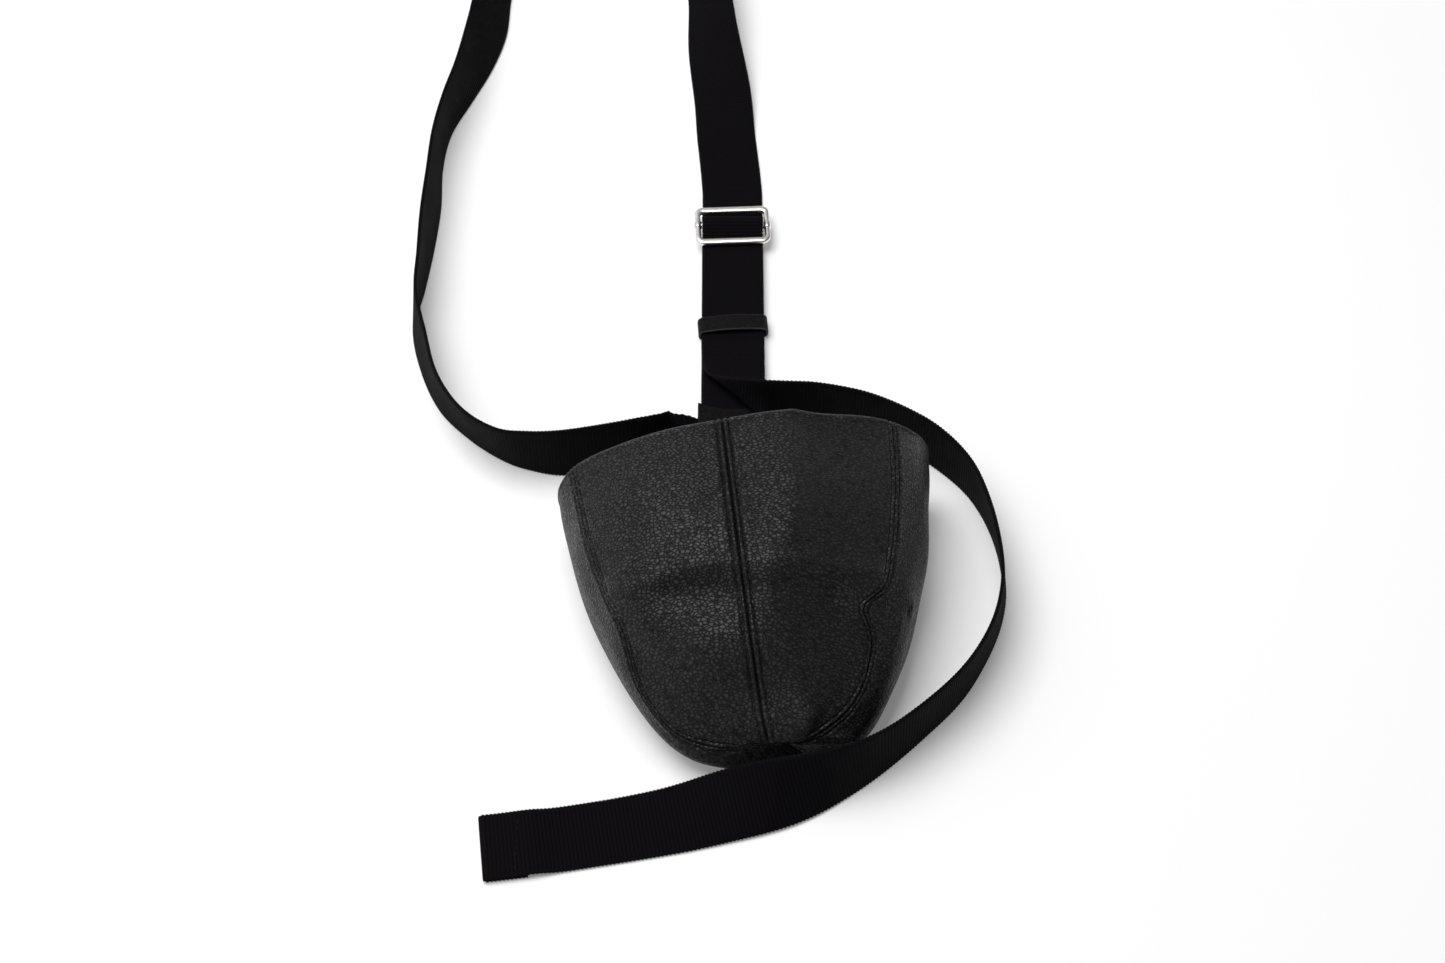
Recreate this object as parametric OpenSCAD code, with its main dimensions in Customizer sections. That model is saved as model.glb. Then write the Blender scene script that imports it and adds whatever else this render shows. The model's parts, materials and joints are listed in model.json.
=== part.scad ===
// Cupped leather patch of four gores on an adjustable webbing strap, lying on its back.
// Millimetres, +Z up, +Y along the straight strap. The origin is the centre of the tab's rest face.

/* [Cup] */
// width of the mouth between its two side rim ends
mouth_width = 165; // [150:1:180]
// height of the mouth above the table
mouth_height = 72; // [62:1:80]
// length from the rim to the closed end
cup_length = 132; // [120:1:142]
// height of the point where the seams meet
end_height = 22; // [18:1:26]
// thickness of the cup leather
leather = 1.6; // [1.2:0.1:2]
// turn of the cup about the vertical
cup_turn = 4.5; // [0:0.5:8]
// roll of the front seams about the axis of the cup
seam_roll = 7; // [3:1:10]
// place of the back seam round the cup, in degrees
back_seam = 296; // [292:1:300]

/* [Webbing] */
// width of the webbing
webbing_width = 30; // [26:1:32]
// thickness of the webbing
webbing_thick = 1.6; // [1.2:0.1:1.9]
// length of the folded hem at the free end
hem_length = 17; // [12:1:22]

/* [Tab] */
// thickness of each leather ply of the tab
tab_ply = 1.5; // [1:0.1:2]
// length of the outer ply
tab_length = 106; // [96:1:112]
// depth of the scooped end of the tab
tab_scoop = 5; // [3:1:8]
// length of the inner ply inside the cup
tab_inside = 26; // [22:1:32]

/* [Slide] */
// diameter of the slide wire
wire = 2.6; // [2:0.1:3]
// distance between the two outer bars
bar_pitch = 21; // [20:0.5:24]
// place of the centre bar along the strap
slide_at = 165; // [150:1:172]

/* [Keeper] */
// width of the leather keeper along the strap
keeper_width = 9; // [7:0.5:12]
// thickness of the keeper leather
keeper_leather = 1.2; // [0.9:0.1:1.5]
// place of the keeper along the strap
keeper_at = 101; // [97:1:112]
// turn of the keeper about the vertical
keeper_turn = 4; // [0:0.5:4]

/* [Thread] */
// thickness of the sewing thread
thread = 0.6; // [0.4:0.1:0.8]
// distance of a stitch row from its seam
row_offset = 2.6; // [2:0.1:3.5]
// distance between the stitches of the tab
tab_pitch = 6; // [4:0.5:8]

/* [Hidden] */
$fn = 48;
layer_gap = 0.15;
floor_gap = 0.1;
keeper_play = 0.3;
slide_play = 0.3;
edge_gap = 0.2;
eye_wall = 0.6;
eye_play = 0.05;
eye_length = 4;

strap_half = webbing_width / 2;
thick_half = webbing_thick / 2;
layer = webbing_thick + layer_gap;

// levels of the webbing layers, each a centre height
low_z = floor_gap + thick_half;
short_z = floor_gap + max(keeper_leather + keeper_play, layer) + thick_half;
long_z = short_z + layer;
return_z = short_z - layer;
end_z = tab_ply + layer_gap + thick_half;
root_z = end_z + layer;
ply_z = root_z + thick_half + layer_gap + tab_ply / 2;
bar_z = long_z + thick_half + slide_play + wire / 2;

// cup
rim_y = -9;
cup_x = 10;
cup_y = rim_y - cup_length / 2;
under = tab_ply + edge_gap;
side_z = 0.46 * mouth_height;
crown = mouth_height - side_z;
taper = 0.14;
end_taper = 0.27;
lip = 1.7;
// the rim is cut a little askew: its left side lies nearer the closed end
skew = 0.057;
lobe = 18;
lobe_dip = 0.3;
// drift of the side seams near the closed end, in degrees: both sink, the right one jogs at its dent
left_drop = 32;
right_drop = 17;
right_jog = 8;
SEAMS = [31 + seam_roll, 90 + seam_roll, 149 + seam_roll, back_seam, 391 + seam_roll];
seam_gap = 0.0016;
band = 0.07;
COLUMNS = concat([0, band, band + 0.03], [for (k = [1:11]) band + 0.03 + k * (0.94 - 2 * band) / 12],
                 [1 - band - 0.03, 1 - band, 1]);
ROWS = [for (k = [0:17]) 90 * (1 - pow(1 - k / 18, 1.6))];

// slide and keeper
eye_r = wire / 2 + eye_play + eye_wall;
side_at = strap_half + edge_gap + eye_r;
corner = 3;
wrap_short = wire / 2 + layer_gap + thick_half;
wrap_long = wrap_short + layer;
BAR = [slide_at, bar_z];
south = slide_at - bar_pitch / 2 + 0.8;
north = slide_at + bar_pitch / 2 - 2;
keeper_in = layer + webbing_thick + 2 * keeper_play;
keeper_z = (long_z + short_z) / 2;
keeper_wide = webbing_width + 4 * keeper_play;

// tab
tab_width = webbing_width + 3;
tab_north = 53;
inner_z = under + leather + 2 * edge_gap + tab_ply / 2;
ply_rise = rim_y - 10;

// colours
hide = [0.05, 0.05, 0.05];
cloth = [0.09, 0.09, 0.1];
nickel = [0.75, 0.73, 0.68];
yarn = [0.15, 0.15, 0.16];

// the long strap's route from its sewn end to the slide: x, y, lean of the webbing in degrees, lift
grow_x = mouth_width / 165;
grow_y = cup_length / 132;
sewn_lift = end_z - low_z;
LOOP = [
    [14, 34, 180, sewn_lift], [0, 31.5, 180, sewn_lift], [-13, 30.6, 180, sewn_lift],
    [-17.5, 30.6, 178, sewn_lift], [-20.5, 30, 168, 1.4], [-24, 27.8, 155, 0.9], [-28, 24.8, 141, 0.4],
    [-33, 22.8, 124, 0.1], [-38, 21.9, 112, 0], [-45, 21.2, 103, 0], [-55, 20, 96, 0], [-77, 16, 95, 0],
    [-93, 17, 88, 0], [-107, 21, 81, 0], [-123, 33, 81, 0], [-137, 52, 90, 0], [-146, 77, 98, 0],
    [-152, 103, 97, 0], [-151, 128, 90, 0], [-150, 155, 84, 0], [-149, 182, 83, 0], [-149, 210, 87, 0],
    [-146, 235, 88, 0], [-139, 260, 79, 0], [-133, 285, 66, 0], [-129, 310, 58, 0], [-128, 337, 58, 0],
    [-124, 365, 64, 0], [-109, 390, 70, 0], [-75, 405, 72, 0], [-39, 389, 66, 0], [-19, 363, 54, 0],
    [-13, 337, 47, 0], [-10, 299, 30, 0], [-5, 261, 10, 0], [-3, 232, 0, 0], [-1, 208, 0, 0], [0, 192, 0, 0]
];

// the soft fold below the keeper, where the strap rises on its east edge and turns: west edge, east edge
wide = webbing_width;
FOLD = [
    [-strap_half, 98, long_z, strap_half, 98, long_z],
    [-strap_half, 88, long_z, strap_half, 83, long_z],
    [-14.5, 79, long_z + 0.7, strap_half, 67, long_z + 0.8],
    [-13.5, 72, long_z + 2.6, strap_half, 54, long_z + 3.6],
    [-10.5, 67, long_z + 5.1, strap_half, 43, ply_z + 2.7],
    [-5.5, 62.5, long_z + 9, 16, 38, ply_z + 2.7],
    [1, 57.5, wide - 11.5, 19.5, 37, ply_z + 1.4],
    [8.5, 52.5, wide - 6.5, 24.5, 38.5, 3.5],
    [17, 48.5, wide - 2.5, 29.5, 41, 0.8],
    [27, 46.5, wide - 0.7, 36, 43, floor_gap],
    [37, 45.4, wide, 43.5, 44.5, floor_gap],
    [47, 43.5, wide, 51.5, 45, floor_gap]
];

// and from the fold to its free end
hem_lift = layer;
TAIL = [
    [57, 42.5, -88, 0], [76, 32, -90, 0], [93, 19, -90, 0], [107, 1, -86, 0], [115, -22, -82, 0],
    [118, -47, -82, 0], [116, -67, -86, 0], [109, -87, -90, 0], [97, -107, -90, 0], [80, -125, -89, 0],
    [61, -141, -84, 0], [43, -151, -72, 0], [23, -157, -50, 0], [-3, -161, -20, 0], [-25, -165.5, -5, 0],
    [-51, -170.3, 0, 0],
    [-72, -174, 0, 0.2], [-83, -175.8, 0, hem_lift], [-94, -177.4, 0, hem_lift],
    [-102.5, -178.5, 0, hem_lift]
];

function unit(v) = v / norm(v);

// Round of the cup below its sides: a flattened oval in polar form.
function flat_round(a) = 1 / pow(pow(abs(cos(a)), 3.2) + pow(abs(sin(a)), 3.2), 1 / 3.2);

function smooth(t) = let (u = min(1, max(0, t))) u * u * (3 - 2 * u);

// Place of seam k round the cup, in degrees, at the share s of the way to the closed end.
function seam_at(k, s) = SEAMS[k]
    + (k == 2 ? left_drop * smooth((s - 0.62) / 0.3) : 0)
    + (k % 4 == 0 ? right_jog * exp(-pow((s - 0.69) / 0.05, 2))
        - right_drop * smooth((s - 0.68) / 0.27) : 0);

// Swell of the closed end below the side seams, less at the back seam, none at the rim and at the pole.
function swell(a, th) = th < 20 ? 0 :
    lobe * sin(180 * (a - SEAMS[2]) / (SEAMS[4] - SEAMS[2])) * pow(sin(180 * (th - 20) / 70), 2)
    * (1 - lobe_dip * exp(-pow((a - back_seam) / 14, 2)));

// Moves a point of the cup to its place on the table.
function place(p) = [
    cup_x + p.x * cos(cup_turn) - p.y * sin(cup_turn),
    cup_y + p.x * sin(cup_turn) + p.y * cos(cup_turn),
    p.z
];

// Point of gore g at share f between its seams, th degrees from rim to pole, set in by inset.
function cup(g, f, th, inset) =
    let (
        s = pow(sin(th), 2 / 2.6),
        a = (1 - f) * seam_at(g, s) + f * seam_at(g + 1, s),
        turn = a - 360 * floor((a - SEAMS[0]) / 360),
        w = (mouth_width / 2 - inset) * (1 - taper * s - end_taper * pow(s, 4)) * pow(cos(th), 2 / 3.4),
        zc = side_z - (side_z - end_height) * pow(s, 3),
        top = (crown - inset + 6 * sin(180 * s) - 8 * pow(s, 4)) * sqrt(max(0, 1 - pow(s, 3.5))),
        low = under + inset,
        base = low + (end_height - low) * (1 - sqrt(max(0, 1 - pow(s, 7)))),
        r = sin(a) < 0 ? flat_round(a) : 1,
        z = sin(a) < 0 ? zc + (zc - base) * r * sin(a) : zc + top * sin(a),
        askew = (lip * max(0, sin(a)) + skew * w * r * cos(a)) * (1 - s),
        reach = askew - (turn > SEAMS[2] ? swell(turn, th) : 0),
        y = cup_length / 2 - (cup_length - inset) * s + reach
    )
    place([w * r * cos(a), y, z]);

// Depth of the leather at a column: double where the seam allowance is turned back.
function depth(f) = f < band + 0.01 || f > 1 - band - 0.01 ? 2 * leather : leather;

module gore(g) {
    m = len(COLUMNS) - 1;
    n = len(ROWS);
    half = (m + 1) * n + 1;
    edges = [for (f = COLUMNS) seam_gap + f * (1 - 2 * seam_gap)];
    pole = cup(g, 0.5, 90, 0);
    inner_pole = cup(g, 0.5, 90, 2 * leather);
    outer = concat([for (f = edges) for (th = ROWS) cup(g, f, th, 0)], [pole]);
    inner = concat([for (f = edges) for (th = ROWS) cup(g, f, th, depth(f))], [inner_pole]);
    grid = [for (i = [0:m - 1]) for (j = [0:n - 2]) each [
        [i * n + j, (i + 1) * n + j + 1, (i + 1) * n + j],
        [i * n + j, i * n + j + 1, (i + 1) * n + j + 1]
    ]];
    fan = [for (i = [0:m - 1]) [i * n + n - 1, half - 1, (i + 1) * n + n - 1]];
    skin = concat(grid, fan);
    inside = [for (t = skin) [half + t[0], half + t[2], half + t[1]]];
    first = [for (j = [0:n - 1]) let (a = j, b = j < n - 1 ? j + 1 : half - 1) each [
        [a, half + b, b], [a, half + a, half + b]
    ]];
    last = [for (j = [0:n - 1]) let (a = m * n + j, b = j < n - 1 ? m * n + j + 1 : half - 1) each [
        [a, b, half + b], [a, half + b, half + a]
    ]];
    rim = [for (i = [0:m - 1]) each [
        [i * n, (i + 1) * n, half + (i + 1) * n],
        [i * n, half + (i + 1) * n, half + i * n]
    ]];
    polyhedron(concat(outer, inner), concat(skin, inside, first, last, rim), convexity = 8);
}

// Sweeps a flat section along rings of centre, width direction and thickness direction.
module sweep(rings, hw, ht) {
    n = len(rings);
    points = [for (r = rings) each [
        r[0] + hw * r[1] + ht * r[2], r[0] - hw * r[1] + ht * r[2],
        r[0] - hw * r[1] - ht * r[2], r[0] + hw * r[1] - ht * r[2]
    ]];
    sides = [for (i = [0:n - 2]) for (k = [0:3]) let (a = 4 * i + k, b = 4 * i + (k + 1) % 4) each [
        [a, a + 4, b + 4], [a, b + 4, b]
    ]];
    e = 4 * (n - 1);
    caps = [[0, 1, 2], [0, 2, 3], [e, e + 2, e + 1], [e, e + 3, e + 2]];
    polyhedron(points, concat(sides, caps), convexity = 10);
}

// Smooth curve through hand-set points, step parts to each span.
function between(p, i, t) =
    let (a = p[max(i - 1, 0)], b = p[i], c = p[i + 1], d = p[min(i + 2, len(p) - 1)])
    (2 * b + (c - a) * t + (2 * a - 5 * b + 4 * c - d) * t * t + (3 * b - a - 3 * c + d) * t * t * t) / 2;

function curve(p, step) = concat(
    [for (i = [0:len(p) - 2]) for (k = [0:step - 1]) between(p, i, k / step)], [p[len(p) - 1]]);

// Centre of the webbing at a route point: its lower edge lies on the table unless it is lifted.
function lay(q) = [
    q[0] * (abs(q[0]) > 20 ? grow_x : 1),
    q[1] < rim_y ? rim_y + (q[1] - rim_y) * grow_y : q[1],
    strap_half * abs(sin(q[2])) + thick_half * abs(cos(q[2])) + floor_gap + q[3]
];

function ring(before, centre, after, lean) =
    let (
        t = unit(after - before),
        l = unit([-t.y, t.x, 0]),
        w = cos(lean) * l + sin(lean) * cross(t, l)
    )
    [centre, w, cross(t, w)];

function fold_rings(fold, step) =
    let (
        q = curve(fold, step), e = len(q) - 1,
        west = [for (v = q) [v[0], v[1], v[2]]], east = [for (v = q) [v[3], v[4], v[5]]]
    )
    [for (i = [0:e]) let (
        a = max(i - 1, 0), b = min(i + 1, e),
        t = west[b] + east[b] - west[a] - east[a],
        w = (east[i] - west[i]) / webbing_width
    ) [(west[i] + east[i]) / 2, w, unit(cross(t, w))]];

function route_rings(route, step) =
    let (q = curve(route, step), c = [for (v = q) lay(v)], e = len(c) - 1)
    [for (i = [0:e]) ring(c[max(i - 1, 0)], c[i], c[min(i + 1, e)], q[i][2])];

// Rounded corner of a flat path at b, between a and c.
function ease(a, b, c, r) =
    let (p = b + r * unit(a - b), q = b + r * unit(c - b))
    [for (t = [0:0.25:1]) (1 - t) * (1 - t) * p + 2 * t * (1 - t) * b + t * t * q];

// Point where a line from p touches a circle about o, on the side that side gives.
function touch(p, o, r, side) =
    let (v = o - p, d = norm(v), a = atan2(v.y, v.x) + side * asin(r / d))
    p + sqrt(d * d - r * r) * [cos(a), sin(a)];

function heading(p, o) = atan2(p.y - o.y, p.x - o.x);

function arc(o, r, a, b) = [for (k = [0:10]) o + r * [cos(a + k * (b - a) / 10), sin(a + k * (b - a) / 10)]];

// The long strap's way over the centre bar and under both outer bars, in y and z.
function slide_path() =
    let (
        p = [north, low_z], q = [south, long_z],
        a = touch(p, BAR, wrap_long, -1), b = touch(q, BAR, wrap_long, 1)
    )
    concat(
        [[slide_at + 22, low_z], [slide_at + 16, low_z]], ease([slide_at + 20, low_z], p, a, 2),
        arc(BAR, wrap_long, heading(a, BAR), heading(b, BAR)),
        ease(b, q, [slide_at - 20, long_z], 1.5)
    );

// The short strap's way from the tab, round the centre bar and back under itself.
function short_path() =
    let (
        q = [south + 1, short_z], p = [south + 0.5, return_z],
        a = touch(q, BAR, wrap_short, 1), b = touch(p, BAR, wrap_short, -1)
    )
    concat(
        [[rim_y + 4, root_z]], ease([0, root_z], [tab_north - 1, root_z], [tab_north + 19, short_z], 4),
        ease([tab_north, root_z], [tab_north + 19, short_z], [slide_at, short_z], 4),
        ease([0, short_z], q, a, 1.5),
        arc(BAR, wrap_short, heading(a, BAR), heading(b, BAR)),
        ease(b, p, [0, return_z], 2), [[south - 18, return_z]]
    );

// Outline of a flat path with a thickness.
function strip(path, h) =
    let (
        e = len(path) - 1,
        n = [for (i = [0:e]) let (t = unit(path[min(i + 1, e)] - path[max(i - 1, 0)])) [-t.y, t.x]]
    )
    concat([for (i = [0:e]) path[i] + h * n[i]], [for (i = [e:-1:0]) path[i] - h * n[i]]);

// Gives a shape drawn in y and z a width along x.
module across(width) {
    rotate([90, 0, 90]) linear_extrude(width, center = true) children();
}

// Fold of the free end: half a turn down, then back under.
function hem_rings(last) =
    let (c = last[0], w = last[1], z = [0, 0, 1], t = unit(cross(w, z)), r = layer / 2)
    concat(
        [for (a = [30:30:180]) [c + r * sin(a) * t - r * (1 - cos(a)) * z, w, cos(a) * z + sin(a) * t]],
        [for (k = [1:4]) [c - 2 * r * z - k * hem_length / 4 * t, w, -z]]
    );

// Row of topstitching: a thread laid on the leather at a set distance from its seam.
function row_rings(g, edge) =
    let (
        stop = 15,
        p = [for (k = [0:stop]) let (
            th = 1 + 86 * (1 - pow(1 - k / stop, 1.5)) * 0.985,
            wide = norm(cup(g, abs(edge - 0.02), th, 0) - cup(g, edge, th, 0)) / 0.02,
            f = abs(edge - min(0.4, row_offset / wide))
        ) [cup(g, f, th, -thread / 2 - layer_gap), unit(cup(g, f, th, -1) - cup(g, f, th, 0))]]
    )
    [for (k = [0:stop]) let (
        t = unit(p[min(k + 1, stop)][0] - p[max(k - 1, 0)][0]),
        w = unit(cross(p[k][1], t))
    ) [p[k][0], w, cross(t, w)]];

module seam_rows(g) {
    sweep(row_rings(g, 1), thread / 2, thread / 2);
    sweep(row_rings((g + 1) % 4, 0), thread / 2, thread / 2);
}

module stitch(x, y, from, to) {
    translate([x, y, from]) cylinder(h = to - from, d = thread);
}

module front_left_panel() {
    color(hide) gore(1);
}

module front_right_panel() {
    color(hide) gore(0);
}

module back_left_panel() {
    color(hide) gore(2);
}

module back_right_panel() {
    color(hide) gore(3);
}

module front_seam_thread() {
    color(yarn) seam_rows(0);
}

module left_seam_thread() {
    color(yarn) seam_rows(1);
}

module back_seam_thread() {
    color(yarn) seam_rows(2);
}

module right_seam_thread() {
    color(yarn) seam_rows(3);
}

module scoop() {
    r = tab_width;
    translate([0, tab_north + r - tab_scoop, -1]) cylinder(h = 30, r = r);
}

module tab_outer_ply() {
    color(hide) difference() {
        translate([-tab_width / 2, tab_north - tab_length, 0]) cube([tab_width, tab_length, tab_ply]);
        scoop();
    }
}

module tab_inner_ply() {
    path = concat(
        [[rim_y - tab_inside, inner_z]],
        ease([rim_y - tab_inside, inner_z], [ply_rise, inner_z], [rim_y - 1, ply_z], 3),
        ease([ply_rise, inner_z], [rim_y - 1, ply_z], [tab_north, ply_z], 3),
        [[tab_north, ply_z]]
    );
    color(hide) difference() {
        across(tab_width) polygon(strip(path, tab_ply / 2));
        scoop();
    }
}

module tab_thread() {
    x = strap_half - 2;
    from = tab_ply / 3;
    head = tab_ply / 2 + thread / 3;
    color(yarn) for (s = [-1, 1]) {
        for (y = [rim_y + 6:tab_pitch:tab_north - tab_scoop - 6]) stitch(s * x, y, from, ply_z + head);
        for (y = [rim_y - tab_inside + 4:tab_pitch:ply_rise - 3]) stitch(s * x, y, from, inner_z + head);
    }
}

module long_strap() {
    path = slide_path();
    e = len(path) - 1;
    run = [for (i = [0:e]) let (t = unit(path[min(i + 1, e)] - path[max(i - 1, 0)]))
        [[0, path[i].x, path[i].y], [1, 0, 0], [0, t.y, -t.x]]];
    tail = route_rings(TAIL, 4);
    hem = hem_rings(tail[len(tail) - 1]);
    rings = concat(route_rings(LOOP, 4), run, fold_rings(FOLD, 4), tail, hem);
    color(cloth) sweep(rings, strap_half, thick_half);
}

module hem_thread() {
    end = lay(TAIL[len(TAIL) - 1]);
    x = end.x + hem_length - 4;
    head = low_z + layer + thick_half + thread / 3;
    color(yarn) for (k = [-4:4]) stitch(x, end.y + 1 + k * webbing_width / 10, low_z, head);
}

module short_strap() {
    color(cloth) across(webbing_width) polygon(strip(short_path(), thick_half));
}

module short_strap_thread() {
    color(yarn) for (y = [south - 15, south - 7]) for (k = [-4:4])
        stitch(k * webbing_width / 9, y, return_z, short_z);
}

module slide_frame() {
    color(nickel) translate([0, slide_at, bar_z]) {
        for (s = [-1, 1]) {
            translate([0, s * bar_pitch / 2, 0]) rotate([0, 90, 0])
                cylinder(h = 2 * (side_at - corner), d = wire, center = true);
            translate([s * side_at, 0, 0]) rotate([90, 0, 0])
                cylinder(h = bar_pitch - 2 * corner, d = wire, center = true);
        }
        for (k = [0:3]) {
            sx = k == 0 || k == 3 ? 1 : -1;
            sy = k < 2 ? 1 : -1;
            translate([sx * (side_at - corner), sy * (bar_pitch / 2 - corner), 0]) rotate([0, 0, 90 * k])
                rotate_extrude(angle = 90) translate([corner, 0]) circle(d = wire);
        }
    }
}

module slide_bar() {
    color(nickel) translate([0, slide_at, bar_z]) difference() {
        union() {
            rotate([0, 90, 0]) cylinder(h = 2 * side_at, d = wire, center = true);
            for (s = [-1, 1]) translate([s * side_at, 0, 0]) rotate([90, 0, 0])
                cylinder(h = eye_length, r = eye_r, center = true);
        }
        for (s = [-1, 1]) translate([s * side_at, 0, 0]) rotate([90, 0, 0])
            cylinder(h = eye_length + 1, r = wire / 2 + eye_play, center = true);
    }
}

module pill(w, h, r) {
    square([w - 2 * r, h], center = true);
    square([w, h - 2 * r], center = true);
    for (x = [-1, 1]) for (y = [-1, 1]) translate([x * (w / 2 - r), y * (h / 2 - r)]) circle(r = r);
}

module keeper_band() {
    color(hide) translate([0, keeper_at, keeper_z]) rotate([90, 0, keeper_turn])
        linear_extrude(keeper_width, center = true) difference() {
            pill(keeper_wide + 2 * keeper_leather, keeper_in + 2 * keeper_leather, 1.4 * keeper_leather);
            pill(keeper_wide, keeper_in, 0.3 * keeper_leather);
        }
}

module keeper_thread() {
    base = keeper_z - keeper_in / 2 - keeper_leather;
    color(yarn) translate([0, keeper_at, 0]) rotate([0, 0, keeper_turn])
        for (x = [-4, 4]) for (k = [-1:1])
            stitch(x, k * keeper_width / 3.5, base + thread / 4, base + keeper_leather - thread / 4);
}

front_left_panel();
front_right_panel();
back_left_panel();
back_right_panel();
front_seam_thread();
left_seam_thread();
right_seam_thread();
back_seam_thread();
tab_outer_ply();
tab_inner_ply();
tab_thread();
long_strap();
hem_thread();
short_strap();
short_strap_thread();
slide_frame();
slide_bar();
keeper_band();
keeper_thread();
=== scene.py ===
# %% [markdown]
# # A cupped leather patch on an adjustable webbing strap
# The object is a black leather cup sewn from four panels. A short and a long webbing strap are sewn
# between the two plies of a leather tab below its mouth, and the long one runs through a wire slide
# and a leather keeper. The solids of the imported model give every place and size. This file dresses
# them: each soft piece is worked out again as a fine surface in the same frame.

# %% Load the frame
import json
import math

import bpy
import numpy as np
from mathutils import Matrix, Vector


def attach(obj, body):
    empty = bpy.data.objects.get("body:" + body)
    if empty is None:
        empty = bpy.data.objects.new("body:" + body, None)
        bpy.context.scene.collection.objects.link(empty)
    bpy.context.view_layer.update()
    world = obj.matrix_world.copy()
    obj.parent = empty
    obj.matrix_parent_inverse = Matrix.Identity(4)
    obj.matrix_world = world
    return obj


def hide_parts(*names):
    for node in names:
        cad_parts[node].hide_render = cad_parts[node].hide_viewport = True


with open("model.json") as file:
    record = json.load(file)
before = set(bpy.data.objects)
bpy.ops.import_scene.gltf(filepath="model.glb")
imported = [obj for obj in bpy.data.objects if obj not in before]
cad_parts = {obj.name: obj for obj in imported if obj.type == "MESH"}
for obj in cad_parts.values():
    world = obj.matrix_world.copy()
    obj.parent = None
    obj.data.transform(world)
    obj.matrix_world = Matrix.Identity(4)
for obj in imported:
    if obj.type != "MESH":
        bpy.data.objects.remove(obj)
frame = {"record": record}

MM = 0.001
scene = bpy.context.scene
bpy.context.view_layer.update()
owner = {node: body for body, nodes in frame["record"]["behaviour"]["bodies"].items() for node in nodes}


def put(name, data):
    """A new object with that data, linked into the scene."""
    made = bpy.data.objects.new(name, data)
    scene.collection.objects.link(made)
    return made


# %% [markdown]
# ## The camera
# The photograph looks down on the table from the closed end of the cup. The lens and the angle were
# found from the straight strap: its width is known near and far, and how fast it narrows gives the
# distance. A guessed camera would push every later comparison off.

# %% Place the camera
PHOTO_WIDTH = 1445
FOCAL_PIXELS = 2330
CAMERA_TILT = math.radians(53)
CAMERA_DISTANCE = 1070 * MM
LOOKED_AT = Vector((-5, 11, 0)) * MM

lens = bpy.data.cameras.new("camera")
lens.sensor_width = 36
lens.lens = lens.sensor_width * FOCAL_PIXELS / PHOTO_WIDTH
camera = put("camera", lens)
back = Vector((0, -math.cos(CAMERA_TILT), math.sin(CAMERA_TILT)))
camera.location = LOOKED_AT + CAMERA_DISTANCE * back
camera.rotation_euler = (math.pi / 2 - CAMERA_TILT, 0, 0)
scene.camera = camera
print("lens", round(lens.lens, 2), "mm at", [round(x / MM) for x in camera.location], "mm")

# %% [markdown]
# ## From a grid of numbers to a closed skin
# Straps, panels, wires and stitches are all one kind of shape: a closed section carried along a path.
# It is kept as an array of sections with equally many points. Quads join neighbouring sections and cover
# both ends. Index arrays make the faces quickly, and one helper serves every piece.


# %% Skins from sections
def skin_quads(sections, points, loop):
    """Quads of one skin: corner (i, j) goes to (i, j+1), (i+1, j+1) and (i+1, j), and the last point of a
    section to its first. Without loop the first and last section get covers, point k against point -1-k."""
    i = np.arange(sections if loop else sections - 1)[:, None]
    j = np.arange(points)[None, :]
    after, beside = (i + 1) % sections, (j + 1) % points
    sides = np.stack([i * points + j, i * points + beside, after * points + beside, after * points + j], -1)
    if loop:
        return sides.reshape(-1, 4)
    k = np.arange(points // 2 - 1)
    near = np.stack([k + 1, k, points - 1 - k, points - 2 - k], -1)
    far = near[:, ::-1] + (sections - 1) * points
    return np.vstack([sides.reshape(-1, 4), near, far])


def volume(points, quads):
    """Six times the signed volume within the quads: negative where the faces look inwards."""
    a, b, c, d = points[quads.T]
    return (a * np.cross(c, d - b)).sum()


# %% Pieces from skins
def make_piece(name, skins, finish, slot, replaced, loop=False, **fields):
    """One mesh from one or more arrays of skins in millimetres, each (copies, sections, points, 3). A field
    gives each point of a single array a number for the finish. The piece rides on its CAD node's body."""
    skins = skins if isinstance(skins, list) else [skins]
    skins = [s.reshape((-1,) + s.shape[-3:]) for s in skins]
    points, quads, first = [], [], 0
    for s in skins:
        copies, sections, around = s.shape[:3]
        one = skin_quads(sections, around, loop)
        if volume(s[0].reshape(-1, 3), one) < 0:
            one = one[:, ::-1]
        step = sections * around
        quads.append((one[None] + first + step * np.arange(copies)[:, None, None]).reshape(-1, 4))
        points.append(s.reshape(-1, 3))
        first += copies * step
    points, quads = np.vstack(points) * MM, np.vstack(quads)
    mesh = bpy.data.meshes.new(name)
    mesh.vertices.add(len(points))
    mesh.vertices.foreach_set("co", points.astype(np.float32).ravel())
    mesh.loops.add(quads.size)
    mesh.loops.foreach_set("vertex_index", quads.astype(np.int32).ravel())
    mesh.polygons.add(len(quads))
    mesh.polygons.foreach_set("loop_start", np.arange(0, quads.size, 4, dtype=np.int32))
    mesh.update(calc_edges=True)
    mesh.shade_smooth()
    for field, values in fields.items():
        flat = np.broadcast_to(values, skins[0].shape[:3]).astype(np.float32).ravel()
        mesh.attributes.new(field, "FLOAT", "POINT").data.foreach_set("value", flat)
    mesh.materials.append(finish)
    piece = put(name, mesh)
    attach(piece, owner[replaced])
    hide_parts(replaced)
    print(name, "-", 2 * len(quads), "triangles on body", owner[replaced])


# %% [markdown]
# ## Shader maths as plain expressions
# A finish is a small network of nodes. Wiring each Math node by hand hides the thought behind it, so a
# socket is wrapped in a class with the usual operators: `1 - mask` or `height * 0.5` then adds the node.


# %% A socket that can be reckoned with
def by_node(operation):
    """A method that adds a Math node with that operation, on the Value itself and on what follows it."""
    return lambda value, *others: value.math(operation, value, *others)


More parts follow.
